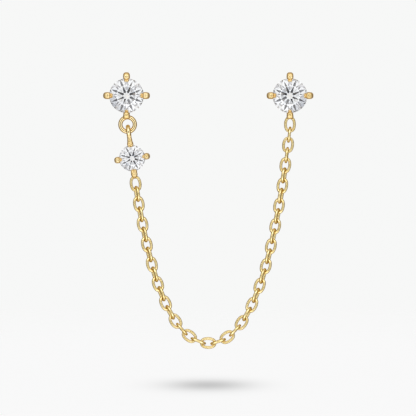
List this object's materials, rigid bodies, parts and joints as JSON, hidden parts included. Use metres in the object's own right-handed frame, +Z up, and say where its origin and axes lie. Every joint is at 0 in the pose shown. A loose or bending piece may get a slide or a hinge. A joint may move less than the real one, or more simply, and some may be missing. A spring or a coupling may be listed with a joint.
{
  "type": "ear chain earring",
  "caption": "Double-stud ear chain: two claw-set brilliant studs joined by a hanging cable chain with a small claw-set drop below one stud.",
  "frame": {"origin": "root of the left post, in the middle of the left stud's back face, where it pins on", "axes": "+Z up, +Y along the posts into the ear, so that the stones face -Y; +X from the left stud to the right stud as seen from the front"},
  "size_m": [0.0243, 0.0131, 0.032],
  "materials": {
    "gold": "polished yellow gold",
    "stone": "polished, cut as round brilliants"
  },
  "bodies": {
    "root": {"left_stud_setting": "gold", "left_stone": "stone", "right_stud_setting": "gold", "right_stone": "stone", "drop_setting": "gold", "drop_stone": "stone", "link_01": "gold", "link_02": "gold", "link_03": "gold", "link_04": "gold", "link_05": "gold", "link_06": "gold", "link_07": "gold", "link_08": "gold", "link_09": "gold", "link_10": "gold", "link_11": "gold", "link_12": "gold", "link_13": "gold", "link_14": "gold", "link_15": "gold", "link_16": "gold", "link_17": "gold", "link_18": "gold", "link_19": "gold", "link_20": "gold", "link_21": "gold", "link_22": "gold", "link_23": "gold", "link_24": "gold", "link_25": "gold", "link_26": "gold", "link_27": "gold", "link_28": "gold", "link_29": "gold", "link_30": "gold", "link_31": "gold", "link_32": "gold", "link_33": "gold", "link_34": "gold", "link_35": "gold", "link_36": "gold", "link_37": "gold", "link_38": "gold", "link_39": "gold", "link_40": "gold", "link_41": "gold"}
  },
  "joints": []
}
